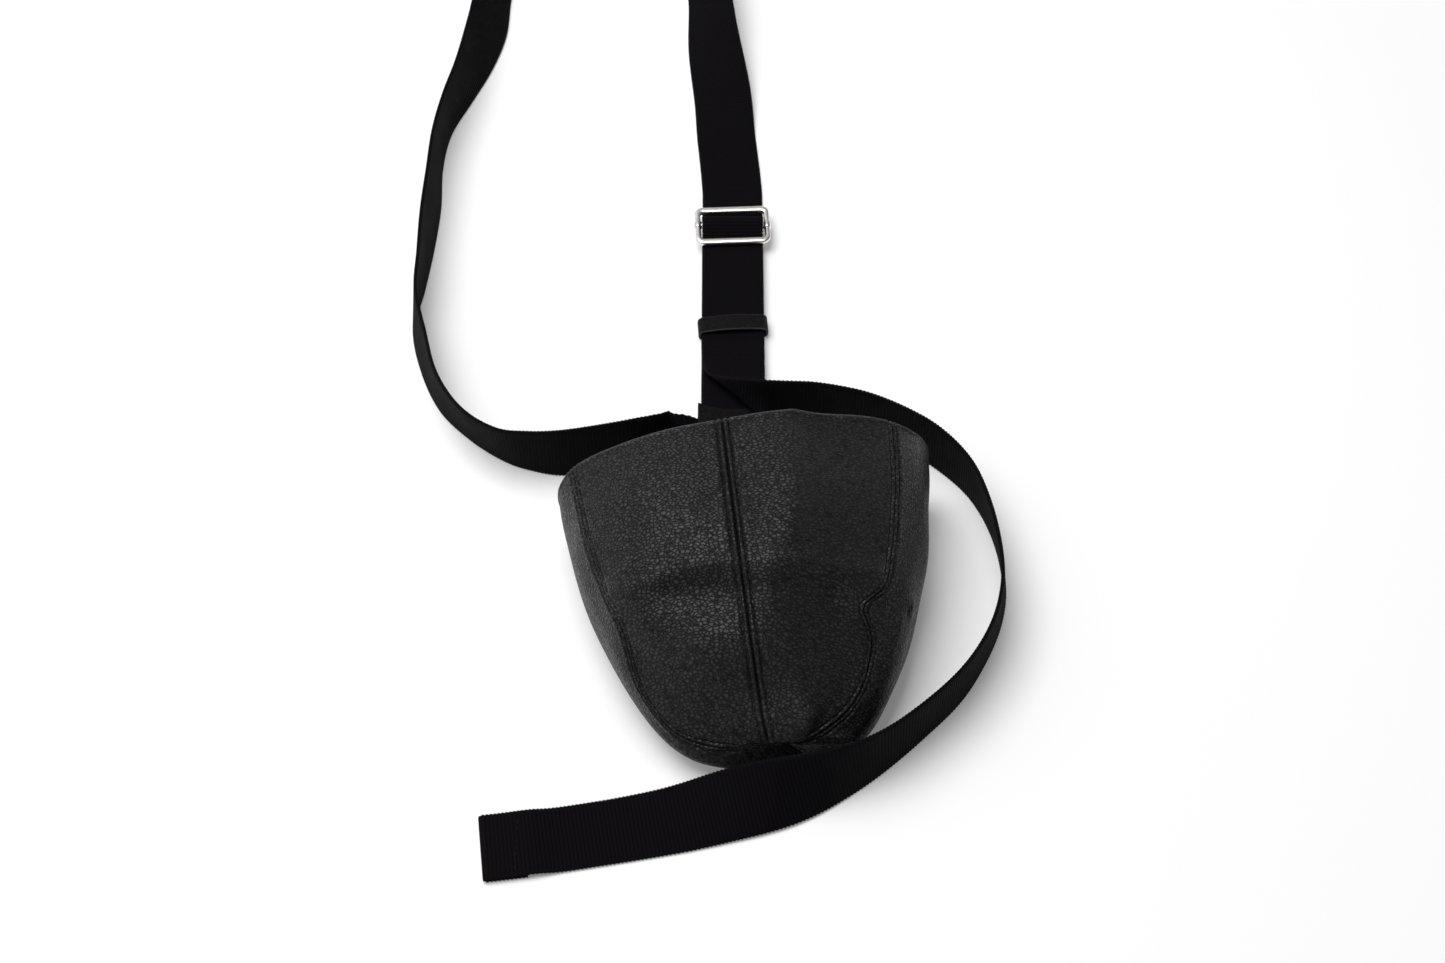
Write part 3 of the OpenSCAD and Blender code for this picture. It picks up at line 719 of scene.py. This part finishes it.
def creases(a, y):
    """The sum over all lines of height * exp(-(distance / spread)**2 / 2), or of height * exp(-distance /
    spread) for a sharp one, whose top is rounded, and a slow unevenness of three waves."""
    x = np.mod(a + 100, 360) - 100
    p = unrolled(x, y)
    total = sum(high * np.sin(y / along + x / around) for high, along, around in WAVES)
    for line, height, spread, sharp in CREASES:
        q = unrolled(*np.array(line, float).T)
        d2 = np.full(np.shape(a), np.inf)
        for q0, step in zip(q[:-1], np.diff(q, axis=0)):
            t = np.clip(((p - q0) @ step) / (step @ step), 0, 1)
            d2 = np.minimum(d2, ((p - q0 - t[..., None] * step) ** 2).sum(-1))
        fall = (np.sqrt(d2 + ROUNDED**2) - ROUNDED) / spread if sharp else d2 / (2 * spread**2)
        total = total + height * np.exp(-fall)
    return total


ROW_OFFSET = 2.7
SEAM_SIZE = np.array([0.75, 1.0, 0.75, 0.85, 0.75])
# height, distance and spread: groove, rolled lip, stitch channel and soft swell; rim's edge, bead and line
SEAM_BELLS = ((-1.1, 0, 0.45), (0.4, 1.3, 0.8), (-0.8, ROW_OFFSET, 0.5), (0.25, 4.6, 1.6))
RIM_BELLS = ((-0.45, 0, 0.25), (0.4, 0.75, 0.6), (-0.15, 2.3, 0.7))


def bells(parts, d):
    """The sum of some bells of the distance d from a seam or from the rim."""
    return sum(high * bell(d, at, spread) for high, at, spread in parts)


print("creases:", len(CREASES))

# %% The face of a gore
# where relief begins and over what it grows: in z, in degrees before the closed end, in the gore's width
CREASE_Z, CREASE_END = (6, 14), (-90, 6)
SEAM_Z, SEAM_END, SEAM_ROOM = (0, 4), (-89.9, 1.5), (0, 14)


def gore_widths(gore, th, piece=0.02):
    """Millimetres for the whole share f, taken over a small piece at its first and at its last seam."""
    ends = ((0.0, piece), (1 - piece, 1.0))
    lines = [cup_point(gore, f1, th) - cup_point(gore, f0, th) for f0, f1 in ends]
    return [np.linalg.norm(line, axis=-1) / piece for line in lines]


def ramp(v, start, length):
    """0 up to the start, 1 from a length beyond it, straight between."""
    return np.clip((v - start) / length, 0, 1)


def gore_face(gore, f, th, depth=0.0, relief=True):
    """A point of the cup moved out along the normal by creases and seam relief, and in by depth. Both fade
    out towards the table and the closed end, where there is no room for them. With the point go its
    distances from the nearer seam and from the rim."""
    x, y, z, a = cup(gore, f, th)
    first, last = gore_widths(gore, th)
    near, far = f * first, (1 - f) * last
    d = np.minimum(near, far)
    from_rim = CUP_LENGTH * way_back(th) + 0 * d
    rise = creases(a, y) * ramp(z, *CREASE_Z) * ramp(-th, *CREASE_END)
    if relief:
        size = np.where(near < far, SEAM_SIZE[gore], SEAM_SIZE[gore + 1])
        fade = ramp(first, *SEAM_ROOM) * ramp(-th, *SEAM_END) * ramp(z, *SEAM_Z)
        rise = rise + bells(SEAM_BELLS, d / size) * size * fade + bells(RIM_BELLS, from_rim)
    return on_table(x, y, z) + cup_normal(gore, f, th) * (rise - depth)[..., None], d, from_rim


# %% The skin of a gore
SEAM_STEPS = np.array([0, 0.25, 0.5, 0.75, 1, 1.3, 1.6, 2, 2.3, 2.6, 2.9, 3.3, 3.8, 4.4, 5.2, 6.2, 7.4, 8])
GORE_WIDTH, PANEL_GAP = 85, 0.0008
RIM_STEPS = [0, 0.02, 0.06, 0.12, 0.25, 0.45]
ALLOWANCE, ALLOWANCE_PLY = 7, 0.85
# the second pair is the crease heights over which the painted highlight comes in
CUT_EDGE, HIGHLIGHT_HEIGHT = (0.45, 0.9), (1.5, 5)


def joined(outside, inside):
    """Rows out over the outside and back over the inside."""
    return np.concatenate([outside, inside[:, ::-1]], 1)


def gore_skin(gore, rows=150):
    """The outside from the end to the rim and the inside back again make one section. Sections follow the
    share f, close together near the seams, and the inside steps in where the allowance doubles it. The
    fields are 1 on the flesh side, at the rim's cut edge, and where a crease stands high and gets a
    painted highlight."""
    near = SEAM_STEPS / GORE_WIDTH
    middle = np.linspace(near[-1], 1 - near[-1], 74)[1:-1]
    f = np.concatenate([near + PANEL_GAP, middle, 1 - near[::-1] - PANEL_GAP])[:, None]
    th = 89.99 * (1 - np.linspace(1, 0, rows) ** 1.6)
    th = np.concatenate([RIM_STEPS, th[1:]])[None, ::-1]
    outside, d, from_rim = gore_face(gore, f, th)
    allowance = 1 / (1 + np.exp((d - ALLOWANCE) * 3.0))
    inside, _, _ = gore_face(gore, f, th, LEATHER * (1 + ALLOWANCE_PLY * allowance), relief=False)
    _, y, _, a = cup(gore, f, th)
    # the painted highlight grows with the crease's height
    cut, crest_highlight = 1 - ramp(from_rim, *CUT_EDGE), ramp(creases(a, y), *HIGHLIGHT_HEIGHT) ** 2
    flesh = joined(0 * d, 0 * d + 1)
    return joined(outside, inside), {"flesh": flesh, "cut": joined(cut, cut), "crest_highlight": joined(crest_highlight, crest_highlight)}


GORES = ("right", "front"), ("left", "front"), ("left", "back"), ("right", "back")
for gore, (side, end) in enumerate(GORES):
    skin, fields = gore_skin(gore)
    make_piece(f"{side}_{end}_panel", skin, leather, "leather", f"{end}_{side}_panel", **fields)

# %% [markdown]
# ## Stitches
# A lockstitch shows as a row of short bulging dashes: the thread comes up through one hole, lies on the
# leather and goes down at the next. Each stitch is its own small skin of a few dozen faces, laid along
# the row by arrays, so hundreds of them cost little.


# %% A row of stitches
def full_turn(count):
    """That many angles, evenly round."""
    return np.linspace(0, 2 * np.pi, count, endpoint=False)


def stitch_row(path, up, pitch=3.6, length=2.7, thick=0.55, sink=0.15):
    """Each stitch follows the row's path for its length. Its centre rises as a flat-topped half wave, and
    its round section narrows to 0.55 at both ends, where the thread goes down into its hole."""
    run = way_along(path)
    starts = np.arange(pitch / 4, run[-1] - length, pitch)
    t = np.linspace(0, 1, 6)
    at = starts[:, None] + length * t
    centre, lift = taken_at(at, run, path), unit(taken_at(at, run, up))
    side = unit(np.cross(np.gradient(centre, axis=1), lift))
    arch = np.sin(np.pi * t) ** 0.6
    centre = centre + lift * ((thick / 2 - sink) * arch - thick * 0.45 * (1 - arch))[..., None]
    turn = full_turn(6)
    spoke = np.cos(turn)[:, None] * side[:, :, None] + np.sin(turn)[:, None] * lift[:, :, None]
    radius = thick / 2 * (0.55 + 0.45 * arch)
    along = at[:, :, None] + 0 * turn
    return centre[:, :, None] + radius[:, None, None] * spoke, along, turn + 0 * along


def sew(name, rows, node, **shape):
    """All stitches of some rows as one piece of thread."""
    made = [stitch_row(path, up, **shape) for path, up in rows]
    skins, runs, turns = (np.concatenate(part) for part in zip(*made))
    print(len(skins), "stitches in", name)
    make_piece(name, skins, thread.material, "thread", node, along=runs, turn=turns)


def seam_row(gore, end, stop=86.0):
    """The line at a set distance from a gore's first seam, end 0, or its last, end 1, on the finished
    leather, and never further in than 0.4 of the gore."""
    th = np.linspace(0.6, stop, 400)
    offset, width = ROW_OFFSET * SEAM_SIZE[gore + end], gore_widths(gore, th)[end]
    f = abs(end - np.minimum(0.4, offset / width))
    path, _, _ = gore_face(gore, f, th)
    return path, cup_normal(gore, f, th)


for gore, seam in enumerate(["front_seam", "left_seam", "back_seam", "right_seam"]):
    sew(seam + "_stitches", [seam_row(gore, 1), seam_row((gore + 1) % 4, 0)], seam + "_thread")

# %% [markdown]
# ## The leather tab
# Two plies of leather hold the sewn ends of both straps and run under the cup. Their far end is scooped
# out. Each ply is a flat section with rounded edges carried along y. Every point of the section has its
# own end, on the circle of the scoop, so the ply needs no cutting.

# %% The two plies
TAB_WIDTH, TAB_PLY, TAB_NORTH, TAB_SCOOP, TAB_LENGTH = 33.0, 1.5, 53.0, 5.0, 106.0
PLY_Z, INNER_Z, TAB_INSIDE = 5.9, 4.45, 26.0
STEP_IN, STEP_LENGTH = 10, 9


def ply_skin(start, height, sections=70):
    """x follows the rounded section, y runs from the start to the scoop's circle, z is the height at y plus
    the section's half thickness."""
    u = np.concatenate([[-1, -0.975, -0.93], np.linspace(-0.85, 0.85, 15), [0.93, 0.975, 1]])
    u, h = there_and_back(u, np.minimum(1, 0.4 + 0.6 * ((1 - abs(u)) / 0.045) ** 0.6))
    x = u * TAB_WIDTH / 2
    stop = TAB_NORTH + TAB_WIDTH - TAB_SCOOP - np.sqrt(TAB_WIDTH**2 - x**2)
    t = np.linspace(0, 1, sections)[:, None]
    y = start + (stop - start) * t
    z = height(y) + h * TAB_PLY / 2
    cut = (abs(u) > 0.96) | (t > 0.999) | (t < 0.001)
    return np.stack([x + 0 * y, y, z], -1), cut + 0 * y


def inner_height(y):
    """Over the straps outside the cup, and down a smooth step to its floor inside the mouth."""
    return INNER_Z + (PLY_Z - INNER_Z) * smooth((y - (RIM_Y - STEP_IN)) / STEP_LENGTH)


# the tab and keeper get no painted highlight
PLAIN = {"flesh": 0.0, "crest_highlight": 0.0}
for name, node, start, height in (
        ("tab_outer_leather", "tab_outer_ply", TAB_NORTH - TAB_LENGTH, lambda y: TAB_PLY / 2 + 0 * y),
        ("tab_inner_leather", "tab_inner_ply", RIM_Y - TAB_INSIDE, inner_height)):
    skin, cut = ply_skin(start, height)
    make_piece(name, skin, tab_leather, "leather", node, cut=cut, **PLAIN)


# %% Stitches of the tab and straps
def straight(a, b, up=UP, count=60):
    """A straight row from a to b."""
    return np.linspace(a, b, count), np.broadcast_to(up, (count, 3))


SEW_X = TAPE / 2 - 2
tab_rows = [straight((s * SEW_X, a, z + TAB_PLY / 2), (s * SEW_X, b, z + TAB_PLY / 2))
            for s in (-1, 1) for a, b, z in ((-6, 44, PLY_Z), (-33, -21, INNER_Z))]
sew("tab_stitches", tab_rows, "tab_thread", pitch=5.0, length=3.8)
HEM_ROW_X, HEM_ROW_Y = -89.5, (-190, -164)
hem_top = LOW_Z + LAYER + TAPE_THICK / 2
sew("hem_stitches", [straight(*((HEM_ROW_X, y, hem_top) for y in HEM_ROW_Y))], "hem_thread",
    pitch=3.0, length=2.4, thick=0.5, sink=0.35)
strap_rows = [straight((-SEW_X, y, FLOOR_GAP), (SEW_X, y, FLOOR_GAP), -UP) for y in (SOUTH - 15, SOUTH - 7)]
sew("short_strap_stitches", strap_rows, "short_strap_thread", pitch=3.4, length=2.6, thick=0.6, sink=0.5)

# %% [markdown]
# ## The wire slide
# The slide is a rectangle of bent wire with a loose centre bar, whose ends are curled round the sides as
# eyes. The frame is a flattened round carried along a rounded rectangle, as the wire itself was rolled and
# bent. The bar is a straight wire, and each eye is a short barrel that bulges where the wire was curled.

# %% The slide's wire
SIDE_X, CORNER, EYE_R, EYE_LONG = 17.15, 3.0, 1.95, 4.0
FLAT_BAR, FRAME_TURN = 1.9, 2.5


def rounded_loop(half_x, half_y, corner, steps=12):
    """Four quarter rounds, one at each corner, in turn; the straight sides join their ends."""
    a = np.radians(np.linspace(0, 90, steps) + np.array([[0], [90], [180], [270]]))
    x = np.array([[1], [-1], [-1], [1]]) * (half_x - corner) + corner * np.cos(a)
    y = np.array([[1], [1], [-1], [-1]]) * (half_y - corner) + corner * np.sin(a)
    return np.column_stack([x.ravel(), y.ravel()])


def loop_ways(path):
    """At each point of a flat closed path, the way along it and the way out of it."""
    t = unit(np.roll(path, -1, 0) - np.roll(path, 1, 0))
    return t, np.column_stack([t[:, 1], -t[:, 0]])


def wire_loop(path, wide, slim, high):
    """A flattened round about each point of a flat closed path: the cosine and the sine, each to the power
    0.75 with its sign, times the half width out of the path and the half height. The half width is wide
    where the path runs along x and slim where it runs along y."""
    t, n = loop_ways(path)
    half = slim + (wide - slim) * abs(t[:, :1])
    round_a = np.stack([np.cos(full_turn(24)), np.sin(full_turn(24))])
    c, s = np.sign(round_a) * abs(round_a) ** 0.75
    x, y = (path[:, k, None] + half * c * n[:, k, None] for k in (0, 1))
    return np.stack([x, y, high * s + 0 * x], -1)


SLIDE_AT = np.array([0, SLIDE_Y, BAR_Z])
frame_wire = wire_loop(rounded_loop(SIDE_X, BAR_PITCH / 2, CORNER), FLAT_BAR, WIRE / 2, WIRE / 2)
frame_wire = SLIDE_AT + turned(frame_wire, FRAME_TURN)
make_piece("slide_wire_frame", frame_wire, nickel.material, "nickel", "slide_frame", loop=True)


# %% The slide's bar and its eyes
def barrel(axis_at, along_axis, radii, stations):
    """A turned shape: the radius at each station along an axis, x for the bar and y for an eye."""
    a = full_turn(20)
    r, s = np.array([radii, stations])[:, :, None]
    c, d, e = r * np.cos(a), r * np.sin(a), s + 0 * a
    return axis_at + np.stack([e, c, d] if along_axis == "x" else [c, e, d], -1)


EYE_GAP = 0.05
bar = barrel(SLIDE_AT, "x", [1.0, 1.3, 1.3, 1.3, 1.3, 1.0], [-15.6, -15.3, -14, 14, 15.3, 15.6])
hole = WIRE / 2 + EYE_GAP
eye_radii = [hole, hole + 0.3, EYE_R - 0.12, EYE_R, EYE_R, EYE_R - 0.12, hole + 0.3, hole]
eye_stations = np.array([-1, -1, -0.86, -0.55, 0.55, 0.86, 1, 1]) * EYE_LONG / 2
eyes = [barrel(SLIDE_AT + (s * SIDE_X, 0, 0), "y", eye_radii, eye_stations) for s in (-1, 1)]
make_piece("slide_centre_bar", [bar] + eyes, nickel.material, "nickel", "slide_bar")

# %% [markdown]
# ## The keeper
# The keeper is a narrow leather band, closed below by two short stitch rows, that holds the tapes
# together. It is a flat strip with rounded edges carried round a low loop, and its top is crowned a
# little by long bending.

# %% The keeper band
KEEPER_Y, KEEPER_WIDTH, KEEPER_LEATHER, KEEPER_HIGH, KEEPER_WIDE = 101.0, 9.0, 1.2, 3.95, 31.2
KEEPER_TURN, KEEPER_CROWN, CROWN_WAVE, KEEPER_CORNER, FLAT_X = 4.0, 1.6, 36, 2.0, 13
KEEPER_Z = (LONG_Z + SHORT_Z) / 2


def keeper_skin():
    """The strip's section has 9 points outside and 9 inside across y. It is carried round a rounded
    rectangle in x and z whose top bows up by a cosine of x. Points are added along its top and its base."""
    half_x, half_z = (KEEPER_WIDE + KEEPER_LEATHER) / 2, (KEEPER_HIGH + KEEPER_LEATHER) / 2
    corners = np.split(rounded_loop(half_x, half_z, KEEPER_CORNER), 4)
    top = np.linspace((FLAT_X, half_z), (-FLAT_X, half_z), 14)
    low = np.linspace((-FLAT_X, -half_z), (FLAT_X, -half_z), 8)
    path = np.vstack([corners[0], top, *corners[1:3], low, corners[3]])
    _, n = loop_ways(path)
    v = np.array([-1, -0.97, -0.9, -0.6, 0, 0.6, 0.9, 0.97, 1.0])
    v, h = there_and_back(v, KEEPER_LEATHER / 2 * np.array([0.45, 0.85, 1, 1, 1, 1, 1, 0.85, 0.45]))
    crown = KEEPER_CROWN * np.cos(np.pi * path[:, 0] / CROWN_WAVE) * ramp(path[:, 1], 0, 2)
    x = path[:, 0, None] + h * n[:, 0, None]
    z = path[:, 1, None] + crown[:, None] + h * n[:, 1, None]
    skin = turned(np.stack([x, v * KEEPER_WIDTH / 2 + 0 * x, z], -1), KEEPER_TURN)
    return skin + (0, KEEPER_Y, KEEPER_Z), (abs(v) > 0.95) + 0 * x


keeper, keeper_cut = keeper_skin()
make_piece("keeper_leather_band", keeper, keeper_leather, "leather", "keeper_band", loop=True, cut=keeper_cut,
           **PLAIN)
keeper_base = KEEPER_Z - KEEPER_HIGH / 2 - KEEPER_LEATHER
ROW_X, ROW_HALF = 4, 3.6
keeper_rows = [straight((x, -ROW_HALF, 0), (x, ROW_HALF, 0), -UP) for x in (-ROW_X, ROW_X)]
keeper_rows = [(turned(row, KEEPER_TURN) + (0, KEEPER_Y, keeper_base), up) for row, up in keeper_rows]
sew("keeper_stitches", keeper_rows, "keeper_thread", pitch=2.6, length=2.0, thick=0.6, sink=0.4)

# %% [markdown]
# ## Table, light and background
# The object lies on a white sheet in a room that is bright on the left and dark on the right, with a paler
# band low down at both sides. The world's colour changes smoothly with direction, and one large soft lamp
# high on the left gives the shadow. A little glow that only the camera and reflections see lifts the sheet
# to paper white, more so far from the object, and puts no more light on the leather.

# %% The white table
BLACK, WHITE = dye(0.0), dye(1.0)
GLOW, FULL_GLOW, TABLE_REACH = 0.16, (0.45, 1.3), 5.0
table_finish = Finish("white_table", {
    "Base Color": dye(0.8), "Roughness": 0.9, "Specular IOR Level": 0.1, "Emission Strength": 1.0})
seen, mirrored = table_finish.ray("Camera"), table_finish.ray("Glossy")
away = table_finish.vector("LENGTH", table_finish.place(), output="Value").share(*FULL_GLOW)
glow = seen.or_more(mirrored) * GLOW + seen * away * (1 - GLOW)
table_finish.wear({"Emission Color": table_finish.blend(glow, BLACK, WHITE)})
sheet = bpy.data.meshes.new("table")
corners = [(x * TABLE_REACH, y * TABLE_REACH, 0) for x, y in ((-1, -1), (1, -1), (1, 1), (-1, 1))]
sheet.from_pydata(corners, [], [(0, 1, 2, 3)])
sheet.materials.append(table_finish.material)
table = put("table", sheet)
print("table", 2 * TABLE_REACH, "m wide")

# %% The lamp
LAMP_AT, LAMP_TARGET = Vector((-0.48, 0.22, 1.6)), Vector((0, 0, 0.03))
LAMP_SIZE, LAMP_POWER = 1.3, 28
light = bpy.data.lights.new("large_soft_light", "AREA")
light.size, light.energy = LAMP_SIZE, LAMP_POWER
lamp = put(light.name, light)
lamp.location = LAMP_AT
lamp.rotation_euler = (LAMP_TARGET - LAMP_AT).to_track_quat("-Z", "Y").to_euler()
print("lamp", LAMP_SIZE, "m wide with", LAMP_POWER, "W")

# %% The room
BRIGHT_SIDE = Vector((-0.8, 0.3, 0.52)).normalized()
DARK_WALL, WALL_SHARE, WALL_RANGE = dye(0.07), 0.55, (-0.1, 1.0)
BAND, SIDE_BAND, BAND_POWER = 0.35, 0.8, 3.0
world = bpy.data.worlds.new("studio")
world.use_nodes = True
room = Nodes(world.node_tree)
room.tree.nodes.remove(room.tree.nodes["Background"])
way = room.place("Generated")
facing, upward, sideways = (
    room.vector("DOT_PRODUCT", way, side, output="Value") for side in (BRIGHT_SIDE, (0, 0, 1), (1, 0, 0)))
horizon = (1 - upward.size()) ** BAND_POWER * (BAND + sideways * sideways * SIDE_BAND)
walls = room.blend(facing.share(*WALL_RANGE) * WALL_SHARE + horizon, DARK_WALL, WHITE)
lit, white = (
    room.node("ShaderNodeBackground", None, {"Color": c, "Strength": 1.0}) for c in (walls, WHITE))
shown = room.node("ShaderNodeMixShader", None, {0: room.ray("Camera"), 1: lit, 2: white})
room.feed(room.tree.nodes["World Output"].inputs["Surface"], shown)
scene.world = world
scene.view_settings.view_transform = "Standard"
print("room", world.name, "with", len(room.tree.nodes), "nodes")
